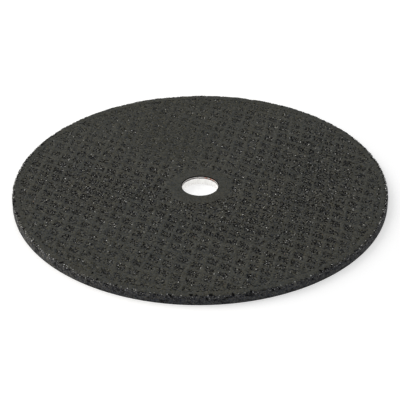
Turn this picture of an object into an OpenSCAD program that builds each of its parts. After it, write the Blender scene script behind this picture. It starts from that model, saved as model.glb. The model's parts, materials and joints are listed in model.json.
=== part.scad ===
/* [Disc] */
// Outer diameter of the disc
disc_d = 230; // [150:5:350]
// Thickness of the disc
disc_t = 6; // [4:0.5:12]
// Bevel along both edges of the rim
rim_bevel = 0.4; // [0.1:0.1:1]

/* [Bore] */
// Clear diameter of the bore
bore_d = 22.23; // [16:0.01:32]
// Width of the smooth clamp land, from the bore outwards
land_w = 8.1; // [7:0.1:20]
// Bevel on the disc's edge at the mouth of the bore
mouth_bevel = 0.2; // [0.1:0.05:0.4]

/* [Net imprint] */
// Distance from one strand of the glass net to the next
strand_pitch = 8; // [7:0.5:14]
// Width of a strand's flat crest
strand_w = 2.2; // [1.4:0.1:3.5]
// Depth of the pockets between the strands
pocket_depth = 0.45; // [0.1:0.05:0.8]
// Direction of the first set of strands, in degrees from +X
strand_angle_1 = -33.2; // [-50:0.1:-20]
// Direction of the second set of strands, in degrees from +X
strand_angle_2 = 78.1; // [60:0.1:100]
// Where two strands cross near the bore's axis, along X
net_shift_x = 3.3; // [-4:0.1:4]
// Where two strands cross near the bore's axis, along Y
net_shift_y = 2.2; // [-4:0.1:4]
// Plain margin between the pockets and the faces that bound them
net_margin = 0.3; // [0.2:0.1:2]

/* [Outer band] */
// Width of the smooth band along the rim
band_w = 4.5; // [2:0.5:12]
// Width of the groove inside the band
groove_w = 0.8; // [0.4:0.1:1.6]
// Depth of that groove
groove_depth = 0.25; // [0.1:0.05:0.5]

/* [Arbor ring] */
// Thickness of the tinplate
sheet_t = 0.4; // [0.3:0.05:0.6]
// Width of the flange on the underside, from the bore outwards
flange_w = 5.9; // [3:0.1:6.5]
// Outer radius of the bend between flange and collar
bend_r = 0.8; // [0.7:0.05:1.2]
// Height of disc left above the end of the collar
collar_set = 0.6; // [0.5:0.1:1.5]
// Bevel on the inner edge of the collar's end
collar_bevel = 0.15; // [0.05:0.05:0.2]
// Radial clearance between the ring and the disc
ring_clear = 0.05; // [0.02:0.01:0.1]

/* [Hidden] */

disc_r = disc_d / 2;
bore_r = bore_d / 2;
land_r = bore_r + land_w;
band_r = disc_r - band_w;
groove_r = band_r - groove_w;

// The ring lies in a seat of its own form, open to the underside
flange_r = bore_r + flange_w;
collar_top = disc_t - collar_set;
collar_seat_r = bore_r + sheet_t + ring_clear;
flange_seat_r = flange_r + ring_clear;
heel = bend_r - sheet_t;
disc_bore_r = bore_r + ring_clear;

// Pockets keep between these two radii
net_in_r = land_r + net_margin;
net_out_r = groove_r - net_margin;

// The two sets of strands cross at a slant, which stretches the cells along them
run_1 = [cos(strand_angle_1), sin(strand_angle_1)];
run_2 = [cos(strand_angle_2), sin(strand_angle_2)];
slant = abs(run_1[0] * run_2[1] - run_1[1] * run_2[0]);
cell_step = strand_pitch / slant;
pocket_half = (strand_pitch - strand_w) / slant / 2;

// A cell whose middle lies nearer than this to where the net ends gets no pocket
cell_keep = strand_w / 2;

// Enough cells each way to cover the disc
cell_count = ceil(disc_r / strand_pitch) + 2;

// Pocket cutters start this far outside the face
face_lift = 0.1;

disc_segments = 180;
bore_segments = 96;

disc_colour = [0.25, 0.25, 0.23];
tin_colour = [0.76, 0.76, 0.73];

// Middle of the cell between four crossings
function cell_centre(i, j) =
    [net_shift_x, net_shift_y] + (i + 0.5) * cell_step * run_1 + (j + 0.5) * cell_step * run_2;

// Corners of the pocket round the centre c
function pocket_corners(c) =
    [for (side = [[1, 1], [-1, 1], [-1, -1], [1, -1]])
        c + pocket_half * (side[0] * run_1 + side[1] * run_2)];

// A pocket is made where the middle of its cell lies well inside the net
function in_net(c) = norm(c) > net_in_r + cell_keep && norm(c) < net_out_r - cell_keep;

// Outline of every pocket, between the four strands round it
module cell_outlines() {
    for (i = [-cell_count:cell_count])
        for (j = [-cell_count:cell_count])
            if (in_net(cell_centre(i, j)))
                polygon(pocket_corners(cell_centre(i, j)));
}

// The pockets of one face, sunk below z = 0 and cut off round where the net ends
module net_pockets() {
    translate([0, 0, -pocket_depth])
    linear_extrude(pocket_depth + face_lift)
    intersection() {
        cell_outlines();
        difference() {
            circle(r = net_out_r, $fn = disc_segments);
            circle(r = net_in_r, $fn = disc_segments);
        }
    }
}

// Half section of the disc: the seat of the ring, the grooves and the bevelled rim
module disc_section() {
    polygon([
        [flange_seat_r, 0],
        [groove_r, 0],
        [groove_r + groove_w / 2, groove_depth],
        [band_r, 0],
        [disc_r - rim_bevel, 0],
        [disc_r, rim_bevel],
        [disc_r, disc_t - rim_bevel],
        [disc_r - rim_bevel, disc_t],
        [band_r, disc_t],
        [groove_r + groove_w / 2, disc_t - groove_depth],
        [groove_r, disc_t],
        [disc_bore_r + mouth_bevel, disc_t],
        [disc_bore_r, disc_t - mouth_bevel],
        [disc_bore_r, collar_top],
        [collar_seat_r, collar_top],
        [collar_seat_r, sheet_t + heel],
        [collar_seat_r + heel, sheet_t],
        [flange_seat_r, sheet_t]
    ]);
}

// Moulded grinding disc with the imprint of the glass net on both faces
module abrasive_disc() {
    color(disc_colour)
    difference() {
        rotate_extrude($fn = disc_segments) disc_section();
        translate([0, 0, disc_t]) net_pockets();
        mirror([0, 0, 1]) net_pockets();
    }
}

// Half section of the ring: flange, bend and collar of one thickness of sheet
module ring_section() {
    translate([bore_r + bend_r, 0])
        square([flange_w - bend_r, sheet_t]);
    translate([bore_r, bend_r])
        square([sheet_t, collar_top - bend_r - collar_bevel]);
    polygon([
        [bore_r, collar_top - collar_bevel],
        [bore_r + sheet_t, collar_top - collar_bevel],
        [bore_r + sheet_t, collar_top],
        [bore_r + collar_bevel, collar_top]
    ]);
    intersection() {
        translate([bore_r, 0])
            square(bend_r);
        translate([bore_r + bend_r, bend_r])
            difference() {
                circle(r = bend_r, $fn = bore_segments);
                circle(r = heel, $fn = bore_segments);
            }
    }
}

// Pressed tinplate ring that lines the bore
module arbor_ring() {
    color(tin_colour)
    rotate_extrude($fn = bore_segments) ring_section();
}

abrasive_disc();
arbor_ring();
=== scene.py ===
import json
import math

import bpy
import numpy as np
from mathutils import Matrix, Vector
from mathutils.geometry import delaunay_2d_cdt


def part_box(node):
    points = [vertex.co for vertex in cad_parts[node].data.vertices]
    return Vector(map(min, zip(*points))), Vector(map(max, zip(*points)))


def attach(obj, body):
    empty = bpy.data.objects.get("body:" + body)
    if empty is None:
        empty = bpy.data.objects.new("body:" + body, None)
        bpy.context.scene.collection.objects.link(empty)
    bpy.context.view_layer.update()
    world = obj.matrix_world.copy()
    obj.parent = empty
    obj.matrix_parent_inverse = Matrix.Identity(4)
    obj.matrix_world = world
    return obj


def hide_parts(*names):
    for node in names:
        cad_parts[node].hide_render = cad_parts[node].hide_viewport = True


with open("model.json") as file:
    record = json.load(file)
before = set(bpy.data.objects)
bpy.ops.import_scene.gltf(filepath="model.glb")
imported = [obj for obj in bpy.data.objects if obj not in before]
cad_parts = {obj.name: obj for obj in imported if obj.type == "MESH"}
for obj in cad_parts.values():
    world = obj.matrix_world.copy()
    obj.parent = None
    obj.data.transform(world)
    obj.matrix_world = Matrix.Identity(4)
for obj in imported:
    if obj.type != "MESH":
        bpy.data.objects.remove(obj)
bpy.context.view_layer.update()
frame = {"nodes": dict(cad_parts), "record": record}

# Lengths below are in millimetres, and meshes are scaled to metres as they are made.
MM = 0.001
SEED = 41

# The disc and its ring, as the frame has them
DISC_LOW, DISC_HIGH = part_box("abrasive_disc")
RING_LOW, RING_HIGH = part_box("arbor_ring")
MOUNTS = {mount["name"]: mount for mount in frame["record"]["mounts"]}
DISC_R = (DISC_HIGH[0] - DISC_LOW[0]) / 2 / MM
DISC_T = (DISC_HIGH[2] - DISC_LOW[2]) / MM
BORE_R = MOUNTS["bore"]["dims"]["r_mm"]
COLLAR_TOP = RING_HIGH[2] / MM
FLANGE_R = (RING_HIGH[0] - RING_LOW[0]) / 2 / MM

# The ring's seat, with the clearance that the solids have
SHEET_T = 0.4
RING_CLEAR = 0.05
BEND_R = 0.8
SEAT_R = BORE_R + SHEET_T + RING_CLEAR
MOUTH_R = BORE_R + RING_CLEAR

# The net's imprint
STRAND_PITCH = 8.0
STRAND_HALVES = (1.2, 1.0)
STRAND_ANGLES = (math.radians(-33.2), math.radians(78.1))
CROSSING = (3.3, 2.2)
LAND_R = 19.2
BAND_R = DISC_R - 4.5
GROOVE_R = BAND_R - 0.7
POCKET_DEPTH = 0.38

# The surfaces stay this far inside the solid, so that grit can stand proud of them
FACE_SKIN = 0.07
RIM_SKIN = 0.06

# How far a grain of the grit stands out of the surface, on the strands and in a pocket
STRAND_GRAIN = 0.012
POCKET_GRAIN = 0.09

RNG = np.random.default_rng(SEED)


def cross2(a, b):
    return a[..., 0] * b[..., 1] - a[..., 1] * b[..., 0]


def smooth(low, high, x):
    """0 below low, 1 above high, and a smooth rise between them."""
    t = np.clip((x - low) / (high - low), 0, 1)
    return t * t * (3 - 2 * t)


# The woven net

RUNS = [np.array([math.cos(a), math.sin(a)]) for a in STRAND_ANGLES]
SLANT = cross2(RUNS[0], RUNS[1])
CELL_STEP = STRAND_PITCH / SLANT
NET_REACH = int(DISC_R / STRAND_PITCH) + 2

# Slow waves that the strands follow: size, wave length, direction and phase
STRAND_WAVES = (
    (0.55, 95.0, 0.4, 0.3),
    (0.40, 61.0, 2.0, 1.9),
    (0.25, 38.0, 1.1, 4.0),
)

# Places where resin fills the pockets, or where they are coarser: centre, radius and change
RESIN_PATCHES = (
    (-28.0, 76.0, 44.0, -0.42),
    (-12.0, 42.0, 28.0, -0.30),
    (-55.0, -62.0, 26.0, -0.25),
    (30.0, 100.0, 26.0, -0.20),
    (8.0, -30.0, 20.0, 0.30),
    (46.0, -34.0, 38.0, 0.30),
    (78.0, 25.0, 40.0, 0.28),
    (-70.0, 5.0, 34.0, 0.25),
    (-42.0, -12.0, 30.0, 0.20),
)


def strand_sway(p):
    """How far the net is pulled aside at the points p."""
    out = np.zeros_like(p)
    for size, length, turn, phase in STRAND_WAVES:
        along = (p[:, 0] * math.cos(turn) + p[:, 1] * math.sin(turn)) * 2 * math.pi / length
        out[:, 0] += size * np.sin(along + phase)
        out[:, 1] += size * np.cos(along * 1.13 + phase * 2)
    return out


def net_place(p):
    """Each point's place in the net, in cells along both runs; strands lie at whole numbers."""
    q = p + strand_sway(p) - np.array(CROSSING)
    along_1 = cross2(q, RUNS[1]) / SLANT / CELL_STEP
    along_2 = cross2(RUNS[0], q) / SLANT / CELL_STEP
    return np.stack([along_1, along_2], axis=1)


def cell_centres():
    """The middle of every cell of the net that lies on the disc."""
    steps = np.arange(-NET_REACH, NET_REACH + 1) + 0.5
    i, j = (grid.ravel() for grid in np.meshgrid(steps, steps))
    p = np.array(CROSSING) + CELL_STEP * (i[:, None] * RUNS[0] + j[:, None] * RUNS[1])
    p = p - strand_sway(p)
    r = np.hypot(p[:, 0], p[:, 1])
    return p[(r > LAND_R - 2) & (r < BAND_R + 2)]


def strand_rows(aside, step):
    """Points along every strand, aside by a share of its half width, without those it hides under."""
    rows = []
    along = np.arange(-DISC_R, DISC_R, step)
    for k, other in ((0, 1), (1, 0)):
        side = np.array([-RUNS[k][1], RUNS[k][0]])
        for n in range(-NET_REACH, NET_REACH + 1):
            t = along + RNG.uniform(-0.3, 0.3, len(along)) * step
            p = np.array(CROSSING) + n * CELL_STEP * RUNS[other] + aside * STRAND_HALVES[k] * side
            p = p + t[:, None] * RUNS[k]
            p = p - strand_sway(p)
            place = net_place(p)
            crossed = np.round(place)
            gap = np.abs(place[:, k] - crossed[:, k]) * STRAND_PITCH
            under = (crossed.sum(axis=1) % 2) * 2 - 1 == (1 if k == 0 else -1)
            rows.append(p[~under | (gap > STRAND_HALVES[other] + 0.5)])
    p = np.concatenate(rows)
    r = np.hypot(p[:, 0], p[:, 1])
    return p[(r > LAND_R + 0.6) & (r < BAND_R - 1.2)]


def net_share(p):
    """1 on the part of a face that carries the net's imprint, 0 on the land and the outer band."""
    r = np.hypot(p[:, 0], p[:, 1])
    return smooth(LAND_R, LAND_R + 1.2, r) * (1 - smooth(BAND_R - 1.4, BAND_R - 0.4, r))


def coarseness(p):
    """How open the pockets are at p, from about 0.2 where resin fills them to 1.2."""
    out = np.full(len(p), 0.85)
    for x, y, radius, change in RESIN_PATCHES:
        out += change * np.exp(-((p[:, 0] - x) ** 2 + (p[:, 1] - y) ** 2) / radius**2)
    out -= 0.22 * smooth(96.0, 106.0, np.hypot(p[:, 0], p[:, 1]))
    return np.clip(out, 0.15, 1.2)


def pocket_share(p):
    """1 in the middle of a pocket, 0 on the strands, the land and the outer band."""
    place = net_place(p)
    off = np.abs(place - np.round(place)) * STRAND_PITCH
    half = np.array(STRAND_HALVES[::-1])
    walls = smooth(half - 0.5, half + 0.9, off)
    return walls.min(axis=1) * net_share(p)


def weave_dip(p):
    """Where a strand passes under another it lies a little lower."""
    place = net_place(p)
    nearest = np.round(place)
    off = np.abs(place - nearest) * STRAND_PITCH
    over = (nearest.sum(axis=1) % 2) * 2 - 1
    side = smooth(0.0, 1.6, np.abs(off[:, 0] - off[:, 1])) * np.sign(off[:, 1] - off[:, 0])
    near = 1 - smooth(0.8, 2.6, off.max(axis=1))
    return np.clip(over * side, 0, 1) * near * net_share(p)


def face_depth(p):
    """Depth of a face's relief below its crests, without pits."""
    r = np.hypot(p[:, 0], p[:, 1])
    pocket = pocket_share(p)
    depth = POCKET_DEPTH * pocket * np.clip(0.45 + 0.6 * coarseness(p), 0, 1)
    depth += 0.06 * weave_dip(p)
    depth += 0.16 * np.exp(-(((r - GROOVE_R) / 0.45) ** 2))
    return depth


# Pits lie this far from the middle of a cell at most, along its strands, and further where the
# face is coarse
PIT_REACH = np.array([3.1, 2.8])
PIT_SPILL = 0.85


def scatter_pits(wanted, gap):
    """Pits of one face: centre, turn, half length, half width and depth."""
    rows = []
    for centre in cell_centres():
        rough = float(coarseness(centre[None])[0])
        count = RNG.poisson(wanted * rough)
        taken = []
        for _ in range(count * 4):
            if len(taken) >= count:
                break
            a, b = RNG.uniform(-1, 1, 2) * (PIT_REACH + PIT_SPILL * smooth(0.95, 1.12, rough))
            spot = centre + a * RUNS[0] + b * RUNS[1]
            turn = math.atan2(b, a)
            if any(np.hypot(*(spot - other)) < gap for other in taken):
                continue
            if net_share(spot[None])[0] < 0.5:
                continue
            taken.append(spot)
            length = RNG.uniform(0.44, 0.92) * (0.70 + 0.38 * rough)
            width = RNG.uniform(0.34, 0.56) * (0.70 + 0.38 * rough)
            depth = RNG.uniform(0.35, 0.8)
            lean = turn + math.pi / 2 + RNG.normal(0, 0.8)
            rows.append((spot[0], spot[1], lean, length, width, depth))
    return np.array(rows)


def scatter_groove_pits(count):
    """The broken line of pits in the groove inside the outer band."""
    turn = np.sort(RNG.uniform(0, 2 * math.pi, count))
    r = GROOVE_R + RNG.normal(0, 0.25, count)
    length = RNG.uniform(0.5, 1.3, count)
    width = RNG.uniform(0.26, 0.42, count)
    depth = RNG.uniform(0.2, 0.4, count)
    return np.stack([r * np.cos(turn), r * np.sin(turn), turn + math.pi / 2, length, width, depth], 1)


def pit_points(pits, corners):
    """Outline points and one deep point of each of the pits, with the depth of the deep ones."""
    x, y, lean, length, width, depth = pits.T
    along = np.stack([np.cos(lean), np.sin(lean)], 1)
    across = np.stack([-np.sin(lean), np.cos(lean)], 1)
    centre = np.stack([x, y], 1)
    outline = []
    for k in range(corners):
        t = 2 * math.pi * (k + 0.5) / corners
        swell = RNG.uniform(0.8, 1.2, len(pits))
        a = (swell * length * math.cos(t))[:, None] * along
        b = (swell * width * math.sin(t))[:, None] * across
        outline.append(centre + a + b)
    deep = centre + (RNG.uniform(-0.25, 0.25, len(pits)) * length)[:, None] * along
    return np.concatenate(outline), deep, depth


class Mask:
    """Marks the parts of a face that are taken, on a fine grid."""

    STEP = 0.2

    def __init__(self):
        self.size = int(2 * DISC_R / self.STEP) + 4
        self.taken = np.zeros((self.size, self.size), bool)

    def cell(self, p):
        return np.clip(((p + DISC_R) / self.STEP).astype(int) + 1, 0, self.size - 1)

    def stamp(self, pits, margin):
        for x, y, lean, length, width, _ in pits:
            reach = length + margin
            span = np.arange(-reach, reach + self.STEP, self.STEP)
            dx, dy = (grid.ravel() for grid in np.meshgrid(span, span))
            a = dx * math.cos(lean) + dy * math.sin(lean)
            b = dy * math.cos(lean) - dx * math.sin(lean)
            inside = (a / (length + margin)) ** 2 + (b / (width + margin)) ** 2 < 1
            spots = self.cell(np.stack([x + dx[inside], y + dy[inside]], 1))
            self.taken[spots[:, 0], spots[:, 1]] = True

    def free(self, p):
        spots = self.cell(p)
        return ~self.taken[spots[:, 0], spots[:, 1]]


def jittered_grid(spacing, low, high):
    """Points about spacing apart, between two radii."""
    rows = np.arange(-high, high, spacing * math.sqrt(3) / 2)
    cols = np.arange(-high, high, spacing)
    x, y = np.meshgrid(cols, rows)
    x = x + (np.arange(len(rows)) % 2)[:, None] * spacing / 2
    p = np.stack([x.ravel(), y.ravel()], 1)
    p += RNG.uniform(-0.24, 0.24, p.shape) * spacing
    r = np.hypot(p[:, 0], p[:, 1])
    return p[(r > low) & (r < high)]


def circle_points(radius, count):
    """Points round the axis, at one radius or at a column of them."""
    t = np.arange(count) * 2 * math.pi / count
    return radius * np.stack([np.cos(t), np.sin(t)], 1)


# Wear of the rim

RIM_COUNT = 960
BARE_SHARE = 0.85

# Directions in which the upper edge is worn most: middle and reach in degrees, and amount
WORN_PARTS = (
    (10.0, 50.0, 0.75),
    (105.0, 30.0, 0.30),
    (155.0, 28.0, 0.50),
    (205.0, 30.0, 0.30),
)

# Direction in which pits spread over the whole outer band
ROUGH_SIDE = 180.0


def edge_wear(turn):
    """How worn the upper edge is in each direction, from 0.2 to 1."""
    out = np.full(np.shape(turn), 0.2)
    for middle, reach, amount in WORN_PARTS:
        away = (np.degrees(turn) - middle + 180) % 360 - 180
        out += amount * np.exp(-((away / reach) ** 2))
    return np.clip(out, 0, 1)


def bare_edge(up):
    """1 at the points of the upper edge where dark grit shows, 0 elsewhere."""
    turn = np.arange(RIM_COUNT) * 2 * math.pi / RIM_COUNT
    share = BARE_SHARE if up else 0.0
    return (RNG.uniform(0, 1, RIM_COUNT) < share * edge_wear(turn) ** 2).astype(float)


def worn_turns(count):
    """Random directions, more of them where the edge is worn."""
    turn = RNG.uniform(0, 2 * math.pi, count * 6)
    kept = turn[RNG.uniform(0, 1, len(turn)) < edge_wear(turn)]
    return kept[:count]


def scatter_edge_pits(count):
    """Small pits in the outer band, close to the rim."""
    turn = worn_turns(count)
    count = len(turn)
    reach = 0.55 + 1.5 * np.exp(-(((np.degrees(turn) - ROUGH_SIDE) / 40) ** 2))
    r = EDGE_R - 0.75 - np.abs(RNG.normal(0, 1, count)) * reach
    length = RNG.uniform(0.26, 0.42, count)
    width = RNG.uniform(0.20, 0.32, count)
    depth = RNG.uniform(0.2, 0.4, count)
    lean = RNG.uniform(0, math.pi, count)
    return np.stack([r * np.cos(turn), r * np.sin(turn), lean, length, width, depth], 1)


# The moulded body

HOLE_COUNT = 150
EDGE_R = DISC_R - 0.15
EDGE_WEAR = 0.34
CHIP_COUNT = 170
POCKET_EDGE = 0.3
LIP = 0.4


# Rows down the rim: height as a share of the thickness, inset, roughness and painted shade; the
# lowest row's shade is a painted shadow line along the bottom edge
RIM_PROFILE = (
    (0.962, 0.10, 0.36, 0.00),
    (0.86, 0.10, 0.36, 0.02),
    (0.72, 0.06, 0.30, 0.02),
    (0.54, 0.02, 0.22, 0.00),
    (0.36, 0.03, 0.18, 0.00),
    (0.18, 0.06, 0.15, 0.02),
    (0.045, 0.22, 0.12, 0.16),
)


class Shell:
    """Collects the vertices, faces and vertex values of one closed mesh."""

    def __init__(self):
        self.points = []
        self.faces = []
        self.values = {key: [] for key in ("pit", "pocket", "grain", "crest", "fill", "rim")}
        self.total = 0

    def add_points(self, xyz, **given):
        """New vertices, with their values; a value that isn't given is 0."""
        first = self.total
        self.points.append(xyz)
        for key, kept in self.values.items():
            kept.append(np.broadcast_to(given.get(key, 0.0), len(xyz)))
        self.total += len(xyz)
        return np.arange(first, self.total)

    def add_face(self, inner_r, edge, spacing, fine, pits, corners, up):
        """One face of the disc: a triangulated sheet between two rings, with its pits."""
        outer = circle_points(EDGE_R - edge[:, None], RIM_COUNT)
        inner = circle_points(inner_r, HOLE_COUNT)
        lip = circle_points(inner_r + LIP, HOLE_COUNT)
        pits = pits[clear_of_edge(pits, edge)]
        outline, deep, deep_by = pit_points(pits, corners)
        taken = Mask()
        taken.stamp(pits, 0.3)
        plain = jittered_grid(spacing, inner_r + LIP + 0.5 * spacing, EDGE_R - 0.5 * spacing)
        plain = plain[net_share(plain) == 0]
        rough = jittered_grid(fine, LAND_R, BAND_R)
        rough = rough[pocket_share(rough) >= POCKET_EDGE]
        crests = strand_rows(0.0, spacing)
        flanks = [strand_rows(side, spacing) for side in (-1, 1)]
        plain = np.concatenate([crests, plain, rough, *flanks, lip])
        free = taken.free(plain)
        crest_count = free[: len(crests)].sum()
        flat = np.concatenate([outer, inner, outline, deep, plain[free]])
        depth = face_depth(flat)
        pocket = pocket_share(flat) * (0.3 + 0.7 * np.minimum(coarseness(flat), 1))
        fill = smooth(0.75, 0.3, coarseness(flat)) * net_share(flat)
        grain = np.clip(RNG.normal(0, 1, len(flat)), -2, 2)
        depth -= grain * (STRAND_GRAIN + POCKET_GRAIN * pocket)
        crest = np.zeros(len(flat))
        start = len(flat) - free.sum()
        on_crest = slice(start, start + crest_count)
        crest[on_crest] = 1 - 0.5 * smooth(0.95, 1.12, coarseness(flat[on_crest]))
        depth -= 0.05 * crest
        # Painted shade at the deep point of each pit and half shade round the bore's mouth; on the
        # upper face's outer ring the same values mark dark grit that wear has bared
        pit = np.zeros(len(flat))
        low = len(outer) + len(inner) + len(outline)
        depth[low : low + len(deep)] += deep_by
        pit[low : low + len(deep)] = 1
        pit[: len(outer)] = bare_edge(up)
        pit[len(outer) : len(outer) + len(inner)] = 0.5
        depth = np.maximum(depth, 0)
        z = DISC_T - FACE_SKIN - depth if up else 0.25 * FACE_SKIN + depth
        xyz = np.column_stack([flat, z])
        ids = self.add_points(xyz, pit=pit, pocket=pocket, grain=grain, crest=crest, fill=fill)
        self.triangulate(flat, ids, len(outer), len(inner), up)
        return ids[: len(outer)], ids[len(outer) : len(outer) + len(inner)]

    def triangulate(self, flat, ids, outer_count, inner_count, up):
        """Triangles between the outer and the inner ring, which come first in the points."""
        rings = [range(outer_count), range(outer_count, outer_count + inner_count)]
        edges = [pair for ring in rings for pair in zip(ring, [*ring[1:], ring[0]])]
        out = delaunay_2d_cdt([Vector(p) for p in flat.tolist()], edges, [], 0, 1e-7)
        tris = np.array(out[2])
        if len(out[0]) != len(flat):
            raise RuntimeError("the triangulation merged points")
        in_hole = ((tris >= outer_count) & (tris < outer_count + inner_count)).all(axis=1)
        on_rim = (tris < outer_count).all(axis=1)
        outside = on_rim & (middle_reach(flat, tris) > rim_reach(flat[:outer_count], flat, tris))
        tris = tris[~in_hole & ~outside]
        if not up:
            tris = tris[:, ::-1]
        self.faces.append(ids[tris])

    def add_wall(self, upper, lower):
        """A band between two rings of the same count, seen from outside with upper on top."""
        u2, l2 = np.roll(upper, -1), np.roll(lower, -1)
        self.faces.append(np.stack([upper, lower, l2], 1))
        self.faces.append(np.stack([upper, l2, u2], 1))

    def mesh(self, name):
        points = np.concatenate(self.points) * MM
        faces = np.concatenate(self.faces)
        mesh = new_mesh(name, points, faces)
        for key, values in self.values.items():
            layer = mesh.attributes.new(key, "FLOAT", "POINT")
            layer.data.foreach_set("value", np.concatenate(values).astype(np.float32))
        return mesh


def new_mesh(name, points, faces):
    mesh = bpy.data.meshes.new(name)
    mesh.vertices.add(len(points))
    mesh.vertices.foreach_set("co", points.astype(np.float32).ravel())
    mesh.loops.add(faces.size)
    mesh.loops.foreach_set("vertex_index", faces.astype(np.int32).ravel())
    mesh.polygons.add(len(faces))
    mesh.polygons.foreach_set("loop_start", np.arange(0, faces.size, 3, dtype=np.int32))
    mesh.update(calc_edges=True)
    mesh.validate()
    return mesh


def lumps(rows, count, amount):
    """Rough steps round a ring, each two or three points wide."""
    raw = RNG.normal(0, 1, (rows, count))
    soft = 0.40 * np.roll(raw, 1, 1) + 0.70 * raw + 0.40 * np.roll(raw, -1, 1)
    return np.clip(soft * amount, -2.2 * amount, 1.6 * amount)


def clear_of_edge(pits, edge):
    """Marks the pits that lie inside the chipped outer ring."""
    broken = np.max([np.roll(edge, step) for step in range(-2, 3)], axis=0)
    turn = np.arctan2(pits[:, 1], pits[:, 0]) % (2 * math.pi)
    k = (turn / (2 * math.pi) * RIM_COUNT).astype(int) % RIM_COUNT
    return np.hypot(pits[:, 0], pits[:, 1]) + 1.2 * pits[:, 3] < EDGE_R - broken[k] - 0.1


def middle_reach(flat, tris):
    """Distance of each triangle's middle from the axis."""
    return np.hypot(*flat[tris].mean(axis=1).T)


def rim_reach(ring, flat, tris):
    """How far the ring of outer points reaches in the direction of each triangle's middle."""
    middle = flat[tris].mean(axis=1)
    turn = np.arctan2(middle[:, 1], middle[:, 0]) % (2 * math.pi)
    k = (turn / (2 * math.pi) * len(ring)).astype(int) % len(ring)
    a, b = ring[k], ring[(k + 1) % len(ring)]
    way = middle / np.hypot(*middle.T)[:, None]
    return cross2(a, b - a) / cross2(way, b - a)


def edge_chips():
    """How much is broken off the upper edge at each point round the rim."""
    turn = np.arange(RIM_COUNT) * 2 * math.pi / RIM_COUNT
    small = np.clip(lumps(1, RIM_COUNT, EDGE_WEAR)[0] + 0.5 * EDGE_WEAR, 0, None)
    middle = (worn_turns(CHIP_COUNT) / (2 * math.pi) * RIM_COUNT).astype(int)
    half = RIM_COUNT // 2
    away = np.abs((np.arange(RIM_COUNT)[:, None] - middle + half) % RIM_COUNT - half)
    width = RNG.uniform(2.0, 5.0, len(middle))
    deep = RNG.uniform(0.2, 0.95, len(middle)) * np.clip(1.4 - away / width, 0, 1)
    return np.maximum(small * (0.3 + 0.7 * edge_wear(turn)), deep.max(axis=1))


def rim_rows(shell, chips):
    """Rings of points down the rim, rough all over and rounded at both edges."""
    bumps = lumps(len(RIM_PROFILE), RIM_COUNT, 1.0)
    turn = np.arange(RIM_COUNT) * 2 * math.pi / RIM_COUNT
    rings = []
    for (share, back, scale, dark), bump in zip(RIM_PROFILE, bumps):
        broken = chips * smooth(0.5, 0.9, share)
        r = np.minimum(DISC_R - RIM_SKIN - back + scale * bump, DISC_R) - broken
        z = share * DISC_T + RNG.normal(0, 0.07, RIM_COUNT)
        z = np.minimum(z, DISC_T - FACE_SKIN)
        ring = np.stack([r * np.cos(turn), r * np.sin(turn), z], 1)
        # Painted shade where the rim is set back, added to the row's own painted shade
        shade = 0.35 * np.clip(dark - bump * scale, 0, 1)
        rings.append(shell.add_points(ring, pit=shade, pocket=scale * 2, grain=bump, rim=1.0))
    return rings


def bore_rows(shell):
    """Rings of points down the bore: the chipped mouth, painted dark as shade, the step on the collar
    and its seat.
    """
    turn = np.arange(HOLE_COUNT) * 2 * math.pi / HOLE_COUNT
    chips = np.clip(lumps(1, HOLE_COUNT, 0.10)[0], 0, 0.3)
    drop = DISC_T - COLLAR_TOP
    # Radius, height, chipping and painted shade of each ring; the stone's wall above the collar is
    # painted dark as its shade, and chips there darker still
    profile = (
        (MOUTH_R, DISC_T - 0.35 * drop, 0.6, 0.5),
        (MOUTH_R, DISC_T - 0.7 * drop, 0.25, 0.6),
        (MOUTH_R, COLLAR_TOP + 0.01, 0.0, 0.6),
        (SEAT_R, COLLAR_TOP + 0.01, 0.0, 0.6),
        (SEAT_R, BEND_R, 0.0, 0.0),
        (SEAT_R + BEND_R - SHEET_T, SHEET_T, 0.0, 0.0),
        (FLANGE_R + RING_CLEAR, SHEET_T, 0.0, 0.0),
    )
    rings = []
    for radius, z, chipped, dark in profile:
        r = radius + chips * chipped
        ring = np.stack([r * np.cos(turn), r * np.sin(turn), np.full(HOLE_COUNT, z)], 1)
        rings.append(shell.add_points(ring, pit=dark + chips * chipped * 2, pocket=0.3))
    return rings


def body_mesh(upper_pits, lower_pits):
    """The whole disc as one closed mesh: two faces, the rim and the bore."""
    shell = Shell()
    chips = edge_chips()
    whole = np.zeros(RIM_COUNT)
    top_out, top_in = shell.add_face(MOUTH_R + 0.12, chips, 1.9, 1.1, upper_pits, 5, up=True)
    low_r = FLANGE_R + RING_CLEAR
    low_out, low_in = shell.add_face(low_r, whole, 2.8, 2.0, lower_pits, 5, up=False)
    rim = [top_out, *rim_rows(shell, chips), low_out]
    for upper, lower in zip(rim, rim[1:]):
        shell.add_wall(upper, lower)
    bore = [top_in, *bore_rows(shell), low_in]
    for upper, lower in zip(bore, bore[1:]):
        shell.add_wall(lower, upper)
    return shell.mesh("abrasive_disc_detail")


# Grit crystals

OCTAHEDRON = np.array(
    [[0, 2, 4], [2, 1, 4], [1, 3, 4], [3, 0, 4], [2, 0, 5], [1, 2, 5], [3, 1, 5], [0, 3, 5]]
)
AXES = np.array([[1, 0, 0], [-1, 0, 0], [0, 1, 0], [0, -1, 0], [0, 0, 1], [0, 0, -1]], float)


def random_turns(count):
    """Random rotation matrices."""
    q = RNG.normal(0, 1, (count, 4))
    q /= np.linalg.norm(q, axis=1)[:, None]
    w, x, y, z = q.T
    return np.stack(
        [
            np.stack([1 - 2 * (y * y + z * z), 2 * (x * y - z * w), 2 * (x * z + y * w)], 1),
            np.stack([2 * (x * y + z * w), 1 - 2 * (x * x + z * z), 2 * (y * z - x * w)], 1),
            np.stack([2 * (x * z - y * w), 2 * (y * z + x * w), 1 - 2 * (x * x + y * y)], 1),
        ],
        1,
    )


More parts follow.
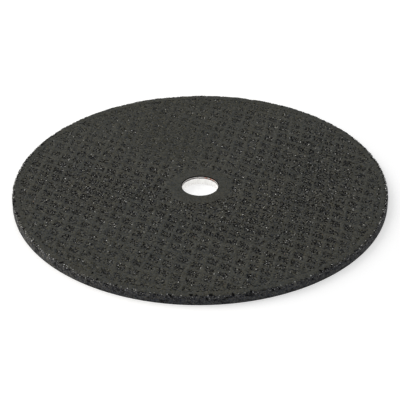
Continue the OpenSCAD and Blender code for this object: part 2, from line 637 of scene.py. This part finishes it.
def crystals(name, centres, sizes, colours):
    """One mesh of irregular eight-sided crystals, each with its own colour."""
    count = len(centres)
    arms = RNG.uniform(0.6, 1.15, (count, 6, 1)) * sizes[:, None, None] * AXES[None]
    corners = np.einsum("nij,nkj->nki", random_turns(count), arms) + centres[:, None]
    r = np.hypot(corners[..., 0], corners[..., 1])
    shrink = np.minimum(1, (DISC_R - 0.01) / r)
    corners[..., :2] *= shrink[..., None]
    corners[..., 2] = np.clip(corners[..., 2], 0.01, DISC_T - 0.005)
    faces = (OCTAHEDRON[None] + 6 * np.arange(count)[:, None, None]).reshape(-1, 3)
    mesh = new_mesh(name, corners.reshape(-1, 3) * MM, faces)
    layer = mesh.color_attributes.new("grain", "FLOAT_COLOR", "POINT")
    rgba = np.ones((count, 6, 4))
    rgba[..., :3] = colours[:, None]
    layer.data.foreach_set("color", rgba.astype(np.float32).ravel())
    return mesh


def pick_colours(count, choices):
    """Colours drawn from (share, low, high, tint) rows; low and high bound the brightness."""
    shares = np.array([row[0] for row in choices], float)
    which = RNG.choice(len(choices), count, p=shares / shares.sum())
    out = np.zeros((count, 3))
    for k, (_, low, high, tint) in enumerate(choices):
        mine = which == k
        level = low * (high / low) ** RNG.uniform(0, 1, mine.sum())
        out[mine] = level[:, None] * np.array(tint)
    return out


# share, darkest, brightest and tint of the grit, in linear colour; the brightest rows, pale grey to
# white, are painted glints of crystal facets
FACE_GRIT_AND_GLINTS = (
    (66, 0.008, 0.030, (1.0, 1.0, 0.98)),
    (32, 0.10, 0.28, (1.0, 1.0, 0.96)),
    (15, 0.50, 1.00, (1.0, 1.0, 0.97)),
    (5, 0.16, 0.45, (0.95, 1.0, 0.62)),
    (0.6, 0.22, 0.45, (1.0, 0.50, 0.28)),
)
EDGE_GRIT_AND_GLINTS = (
    (38, 0.010, 0.030, (0.94, 0.97, 1.08)),
    (34, 0.04, 0.12, (0.97, 0.98, 1.04)),
    (22, 0.14, 0.40, (0.98, 0.98, 1.03)),
    (6, 0.45, 0.90, (1.0, 1.0, 1.0)),
)
WORN_GRIT_AND_GLINTS = (
    (24, 0.004, 0.020, (0.95, 0.97, 1.05)),
    (22, 0.05, 0.14, (1.0, 1.0, 0.96)),
    (34, 0.30, 0.65, (1.0, 1.0, 0.97)),
    (20, 0.70, 1.00, (1.0, 1.0, 1.0)),
)
RIM_GRIT = (
    (55, 0.010, 0.026, (0.90, 0.95, 1.15)),
    (38, 0.028, 0.060, (0.92, 0.96, 1.12)),
    (7, 0.08, 0.20, (0.98, 0.98, 1.04)),
)


def face_grit(name, pits, per_pit, up):
    """Crystals beside the pits of one face."""
    pits = pits[RNG.uniform(0, 1, len(pits)) < per_pit * coarseness(pits[:, :2])]
    turn = RNG.uniform(0, 2 * math.pi, len(pits))
    away = pits[:, 4] + RNG.uniform(0.1, 0.9, len(pits))
    flat = pits[:, :2] + away[:, None] * np.stack([np.cos(turn), np.sin(turn)], 1)
    r = np.hypot(flat[:, 0], flat[:, 1])
    flat = flat[(r > LAND_R + 0.4) & (r < GROOVE_R)]
    colours = pick_colours(len(flat), FACE_GRIT_AND_GLINTS)
    sizes = RNG.uniform(0.24, 0.42, len(flat)) + 0.12 * smooth(0.3, 0.6, colours[:, 1])
    depth = face_depth(flat) + 0.35 * sizes
    z = DISC_T - FACE_SKIN - depth if up else FACE_SKIN + depth
    return crystals(name, np.column_stack([flat, z]), sizes, colours)


def worn_grit(name, count, sizes, choices):
    """Crystals that the worn upper edge lays bare."""
    turn = worn_turns(count)
    size = RNG.uniform(*sizes, len(turn))
    r = EDGE_R - 0.3 - np.abs(RNG.normal(0, 0.5, len(turn)))
    z = DISC_T - FACE_SKIN - 0.1 * size
    centres = np.stack([r * np.cos(turn), r * np.sin(turn), z], 1)
    return crystals(name, centres, size, pick_colours(len(turn), choices))


def rim_grit(name, count, low, high, sizes, choices):
    """Crystals that stand out of the rim between two heights."""
    turn = RNG.uniform(0, 2 * math.pi, count)
    z = RNG.uniform(low, high, count)
    size = RNG.uniform(*sizes, count)
    r = DISC_R - RIM_SKIN - 0.3 * size - 0.3 * smooth(0.9, 1.0, z / DISC_T)
    centres = np.stack([r * np.cos(turn), r * np.sin(turn), z], 1)
    return crystals(name, centres, size, pick_colours(count, choices))


# Materials


def new_material(name):
    """A material with its node tree and its shader."""
    material = bpy.data.materials.new(name)
    material.use_nodes = True
    tree = material.node_tree
    return material, tree, tree.nodes["Principled BSDF"]


def add(tree, kind, values=None, **settings):
    """A node of one kind, with its settings and socket values."""
    made = tree.nodes.new(kind)
    for key, value in settings.items():
        setattr(made, key, value)
    for key, value in (values or {}).items():
        made.inputs[key].default_value = value
    return made


def mix_colour(tree, factor, a, b, blend="MIX"):
    """The colour output of a mix; factor, a and b are sockets or values."""
    made = add(tree, "ShaderNodeMix", data_type="RGBA", blend_type=blend)
    for index, value in ((0, factor), (6, a), (7, b)):
        if isinstance(value, bpy.types.NodeSocket):
            tree.links.new(value, made.inputs[index])
        else:
            made.inputs[index].default_value = value
    return made.outputs[2]


def span(tree, socket, low, high, to_low=0.0, to_high=1.0):
    """A socket's value carried from one range to another, held at both ends."""
    made = add(
        tree,
        "ShaderNodeMapRange",
        {"From Min": low, "From Max": high, "To Min": to_low, "To Max": to_high},
    )
    tree.links.new(socket, made.inputs["Value"])
    return made.outputs["Result"]


def times(tree, a, b, operation="MULTIPLY"):
    made = add(tree, "ShaderNodeMath", operation=operation)
    for index, value in ((0, a), (1, b)):
        if isinstance(value, bpy.types.NodeSocket):
            tree.links.new(value, made.inputs[index])
        else:
            made.inputs[index].default_value = value
    return made.outputs[0]


def attribute(tree, name, output="Fac"):
    return add(tree, "ShaderNodeAttribute", attribute_name=name).outputs[output]


def noise_at(tree, place, per_mm, detail=2.0, rough=0.5):
    """Noise with about per_mm features a millimetre."""
    made = add(
        tree, "ShaderNodeTexNoise", {"Scale": per_mm / MM, "Detail": detail, "Roughness": rough}
    )
    tree.links.new(place, made.inputs["Vector"])
    return made.outputs["Fac"]


def linear(r, g, b):
    """A colour given as 0 to 255 values of the picture, in linear light."""
    out = []
    for value in (r, g, b):
        c = value / 255
        out.append(c / 12.92 if c <= 0.04045 else ((c + 0.055) / 1.055) ** 2.4)
    return (*out, 1.0)


RESIN = linear(69, 70, 67)
RESIN_WARM = linear(69, 66, 58)
RESIN_COOL = linear(58, 60, 59)
RESIN_FILL = linear(58, 58, 54)
CREST = linear(76, 77, 73)
POCKET_TONE = linear(55, 55, 55)
RIM_TONE = linear(67, 68, 75)
# Near black: painted shade in the pits, the rim's hollows and the bore mouth, and the dark grit bared
# on the worn edge
SHADE_AND_GRIT_BLACK = linear(2, 2, 3)
# Grit speckle that also paints shade in the low spots and light on the high spots of the fine relief
SPECK_SHADE = linear(8, 8, 11)
SPECK_HIGHLIGHT = linear(118, 117, 108)
GRAIN_WARM = linear(77, 73, 52)
GRAIN_COOL = linear(48, 56, 68)


def bonded_material():
    """Olive-grey resin with speckled grit in the pockets of the net, near-black painted shade in the
    pits, the rim's hollows and the bore mouth, dark grit bared on the worn edge, and specks that
    paint shade in low spots and light on high spots of the fine relief.
    """
    material, tree, shader = new_material("bonded_abrasive_painted_shade_look")
    place = add(tree, "ShaderNodeTexCoord").outputs["Object"]
    pit = attribute(tree, "pit")
    pocket = attribute(tree, "pocket")
    broad = noise_at(tree, place, 0.035, detail=3.0)
    mottle = noise_at(tree, place, 0.35, detail=3.0)
    tint = mix_colour(tree, span(tree, broad, 0.35, 0.65), RESIN_COOL, RESIN_WARM)
    resin = mix_colour(tree, span(tree, mottle, 0.3, 0.7, 0.15, 0.85), RESIN, tint)
    ridge = span(tree, attribute(tree, "crest"), 0.3, 1.0, 0.0, 0.8)
    resin = mix_colour(tree, ridge, resin, CREST)
    ground = mix_colour(tree, times(tree, pocket, 0.9), resin, POCKET_TONE)
    ground = mix_colour(tree, attribute(tree, "fill"), ground, RESIN_FILL)
    ground = mix_colour(tree, attribute(tree, "rim"), ground, RIM_TONE)
    grain = attribute(tree, "grain")
    hue = span(tree, noise_at(tree, place, 1.5, detail=0.0), 0.36, 0.64)
    ground = mix_colour(tree, 0.4, ground, mix_colour(tree, hue, GRAIN_COOL, GRAIN_WARM))
    fine = noise_at(tree, place, 1.3, detail=1.0, rough=0.6)
    # The specks follow the bump's noise and each vertex's grain height: painted shade where low and
    # painted highlight where high, most in the pockets
    height = times(tree, span(tree, fine, 0.2, 0.8, -2.2, 2.2), times(tree, grain, 0.4), "ADD")
    dark = times(tree, span(tree, height, -0.35, -0.70), span(tree, pocket, 0, 1, 0.38, 1.0))
    ground = mix_colour(tree, dark, ground, SPECK_SHADE)
    light = times(tree, span(tree, height, 0.50, 0.95), span(tree, pocket, 0, 1, 0.14, 0.6))
    ground = mix_colour(tree, light, ground, SPECK_HIGHLIGHT)
    # Painted shade: near black in the pits, the rim's hollows and the bore mouth; the same mask marks
    # the dark grit bared on the worn edge
    colour = mix_colour(tree, span(tree, pit, 0.02, 0.16), ground, SHADE_AND_GRIT_BLACK)
    tree.links.new(colour, shader.inputs["Base Color"])
    sheen = span(tree, mottle, 0.3, 0.7, 0.65, 0.85)
    tree.links.new(sheen, shader.inputs["Roughness"])
    bump = add(tree, "ShaderNodeBump", {"Strength": 0.5, "Distance": 0.12 * MM})
    tree.links.new(fine, bump.inputs["Height"])
    tree.links.new(bump.outputs["Normal"], shader.inputs["Normal"])
    shader.inputs["Specular IOR Level"].default_value = 0.05
    return material


def grit_material():
    """Facetted crystals, each in its own tone, the brightest tones painted glints, with a glassy
    surface.
    """
    material, tree, shader = new_material("grit_and_glints_look")
    place = add(tree, "ShaderNodeTexCoord").outputs["Object"]
    tone = attribute(tree, "grain", "Color")
    fine = noise_at(tree, place, 2.2, detail=1.0)
    colour = mix_colour(tree, span(tree, fine, 0.3, 0.7, 0.0, 0.35), tone, (0.02, 0.02, 0.02, 1))
    tree.links.new(colour, shader.inputs["Base Color"])
    tree.links.new(span(tree, fine, 0.3, 0.7, 0.22, 0.42), shader.inputs["Roughness"])
    shader.inputs["Specular IOR Level"].default_value = 0.4
    return material


TIN = linear(254, 253, 251)
TIN_DULL = linear(222, 220, 216)
TIN_EDGE = linear(184, 180, 178)
TIN_FLANGE = linear(206, 205, 201)
# Dark line painted as the shade of a crimp groove under the collar's upper edge
TIN_CRIMP_SHADE = linear(30, 26, 25)
RUST = linear(160, 80, 36)
CRIMP_SHADE_DROP = 0.85
CRIMP_SHADE_HALF = 0.40
RUST_TURN = math.radians(57)


def tin_material():
    """Drawn tinplate with a painted shade line under its upper edge, in place of a crimp groove, and
    a little rust there.
    """
    material, tree, shader = new_material("tinplate_crimp_shade_look")
    place = add(tree, "ShaderNodeTexCoord").outputs["Object"]
    parts = add(tree, "ShaderNodeSeparateXYZ")
    tree.links.new(place, parts.inputs["Vector"])
    x, y, z = parts.outputs["X"], parts.outputs["Y"], parts.outputs["Z"]
    drawn = add(tree, "ShaderNodeVectorMath", operation="MULTIPLY")
    tree.links.new(place, drawn.inputs[0])
    drawn.inputs[1].default_value = (1.0, 1.0, 0.12)
    marks = noise_at(tree, drawn.outputs[0], 1.6, detail=4.0, rough=0.6)
    cloud = noise_at(tree, place, 0.3, detail=3.0)
    metal = mix_colour(tree, span(tree, marks, 0.35, 0.7, 0.0, 0.4), TIN, TIN_DULL)
    metal = mix_colour(tree, span(tree, z, 0.05 * MM, 0.35 * MM), TIN_FLANGE, metal)
    edge = span(tree, z, (COLLAR_TOP - CRIMP_SHADE_DROP) * MM, (COLLAR_TOP - 0.5) * MM)
    metal = mix_colour(tree, edge, metal, TIN_EDGE)
    wander = span(tree, cloud, 0.3, 0.7, -0.18 * MM, 0.18 * MM)
    height = times(tree, z, wander, "ADD")
    crimp_shade_z = (COLLAR_TOP - CRIMP_SHADE_DROP) * MM
    off = times(tree, times(tree, height, crimp_shade_z, "SUBTRACT"), 0.0, "ABSOLUTE")
    # Painted shade line in place of a crimp groove, wandering a little in height
    line = span(tree, off, CRIMP_SHADE_HALF * MM, 0.5 * CRIMP_SHADE_HALF * MM)
    metal = mix_colour(tree, line, metal, TIN_CRIMP_SHADE)
    near_edge = span(tree, z, (COLLAR_TOP - 1.2) * MM, (COLLAR_TOP - 0.3) * MM)
    toward = times(tree, x, math.cos(RUST_TURN))
    toward = times(tree, toward, times(tree, y, math.sin(RUST_TURN)), "ADD")
    side = span(tree, toward, 0.90 * BORE_R * MM, 0.97 * BORE_R * MM)
    spots = span(tree, noise_at(tree, place, 0.9, detail=3.0), 0.47, 0.56)
    rust = times(tree, times(tree, near_edge, side), spots)
    colour = mix_colour(tree, rust, metal, RUST)
    tree.links.new(colour, shader.inputs["Base Color"])
    shader.inputs["Metallic"].default_value = 0.85
    tree.links.new(span(tree, marks, 0.3, 0.7, 0.28, 0.5), shader.inputs["Roughness"])
    bump = add(tree, "ShaderNodeBump", {"Strength": 0.15, "Distance": 0.02 * MM})
    tree.links.new(marks, bump.inputs["Height"])
    tree.links.new(bump.outputs["Normal"], shader.inputs["Normal"])
    return material


# Putting the pieces in


def place_piece(mesh, name, material):
    piece = bpy.data.objects.new(name, mesh)
    bpy.context.scene.collection.objects.link(piece)
    mesh.materials.append(material)
    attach(piece, "root")
    return piece


def add_disc():
    """The detailed disc in place of the plain solid, with its grit."""
    upper = [scatter_pits(15.5, 1.02), scatter_groove_pits(400), scatter_edge_pits(700)]
    upper = np.concatenate(upper)
    lower = np.concatenate([scatter_pits(4.0, 1.6), scatter_groove_pits(160)])
    body = place_piece(body_mesh(upper, lower), "disc_body", bonded_material())
    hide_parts("abrasive_disc")
    grit = grit_material()
    pieces = (
        ("grit_and_glints_upper_face", face_grit("grit_and_glints_upper_face", upper, 0.85, up=True)),
        ("grit_and_glints_lower_face", face_grit("grit_and_glints_lower_face", lower, 0.5, up=False)),
        ("grit_and_glints_edge", rim_grit("grit_and_glints_edge", 1700, 4.5, 5.85, (0.24, 0.46), EDGE_GRIT_AND_GLINTS)),
        ("grit_rim", rim_grit("grit_rim", 2600, 0.3, 4.6, (0.18, 0.36), RIM_GRIT)),
        ("grit_and_glints_worn_edge", worn_grit("grit_and_glints_worn_edge", 520, (0.36, 0.58), WORN_GRIT_AND_GLINTS)),
    )
    for name, mesh in pieces:
        place_piece(mesh, name, grit)


def dress_ring():
    """The pressed ring keeps its solid's shape and gets its finish."""
    ring = frame["nodes"]["arbor_ring"]
    material = tin_material()
    ring.data.materials.clear()
    ring.data.materials.append(material)


# Studio

FLOOR_SIZE = 12.0
STUDIO_GREY = 0.78
WORLD_LEVEL = 0.58


def floor_material():
    """Pale floor that reads white in the open and keeps the object's shadow."""
    material, tree, shader = new_material("floor_look")
    shader.inputs["Base Color"].default_value = (STUDIO_GREY, STUDIO_GREY, STUDIO_GREY, 1)
    shader.inputs["Roughness"].default_value = 0.9
    shader.inputs["Specular IOR Level"].default_value = 0.0
    path = add(tree, "ShaderNodeLightPath")
    seen = times(tree, path.outputs["Is Camera Ray"], path.outputs["Is Glossy Ray"], "MAXIMUM")
    seen = times(tree, seen, path.outputs["Is Transmission Ray"], "MAXIMUM")
    lift = times(tree, seen, 1.0)
    tree.links.new(lift, shader.inputs["Emission Strength"])
    shader.inputs["Emission Color"].default_value = (0.42, 0.42, 0.42, 1)
    return material


def add_floor():
    bpy.ops.mesh.primitive_plane_add(size=FLOOR_SIZE, location=(0, 0, 0))
    floor = bpy.context.object
    floor.name = "floor"
    floor.data.materials.append(floor_material())


def set_world():
    """White where the camera and reflections see it, plain grey-white light elsewhere."""
    world = bpy.data.worlds.new("studio")
    bpy.context.scene.world = world
    world.use_nodes = True
    tree = world.node_tree
    tree.nodes.clear()
    path = add(tree, "ShaderNodeLightPath")
    seen = times(tree, path.outputs["Is Camera Ray"], path.outputs["Is Glossy Ray"], "MAXIMUM")
    seen = times(tree, seen, path.outputs["Is Transmission Ray"], "MAXIMUM")
    strength = span(tree, seen, 0.0, 1.0, WORLD_LEVEL, 1.0)
    light = add(tree, "ShaderNodeBackground", {"Color": (1, 1, 1, 1)})
    tree.links.new(strength, light.inputs["Strength"])
    out = add(tree, "ShaderNodeOutputWorld")
    tree.links.new(light.outputs["Background"], out.inputs["Surface"])


def add_lamp(name, place, size, power, colour=(1.0, 1.0, 1.0)):
    """A soft square lamp that looks at the disc."""
    data = bpy.data.lights.new(name, "AREA")
    data.size = size
    data.energy = power
    data.color = colour
    lamp = bpy.data.objects.new(name, data)
    lamp.location = place
    lamp.rotation_mode = "QUATERNION"
    lamp.rotation_quaternion = (-Vector(place)).to_track_quat("-Z", "Y")
    bpy.context.scene.collection.objects.link(lamp)


# Camera, from the disc's outline in the picture

PICTURE = 400
FOCAL_PX = 1540.5
ELEVATION = math.radians(32.13)
ROLL = math.radians(-0.36)
DISTANCE = 0.946
CENTRE_PX = (200.07, 185.64)
SENSOR = 36.0


def add_camera():
    """Looks level with the picture's own axis; the shift puts the disc's centre in its place."""
    data = bpy.data.cameras.new("camera")
    data.sensor_width = SENSOR
    data.lens = FOCAL_PX / PICTURE * SENSOR
    data.shift_x = (PICTURE / 2 - CENTRE_PX[0]) / PICTURE
    data.shift_y = (CENTRE_PX[1] - PICTURE / 2) / PICTURE
    data.clip_start = 0.01
    data.clip_end = 50
    camera = bpy.data.objects.new("camera", data)
    aim = Vector((0, 0, DISC_T * MM))
    back = Vector((0, -math.cos(ELEVATION), math.sin(ELEVATION)))
    camera.location = aim + DISTANCE * back
    camera.rotation_euler = (math.pi / 2 - ELEVATION, 0, 0)
    camera.rotation_euler.rotate_axis("Z", ROLL)
    bpy.context.scene.collection.objects.link(camera)
    bpy.context.scene.camera = camera


add_camera()
add_disc()
dress_ring()
add_floor()
set_world()
add_lamp("key", (-0.8, 0.3, 0.9), 0.9, 5.1)
add_lamp("fill", (0.9, -0.9, 0.9), 1.0, 0.4)
add_lamp("low", (-1.4, 0.16, 0.12), 0.5, 17.0, (1.0, 0.92, 0.76))
bpy.context.scene.view_settings.view_transform = "Standard"
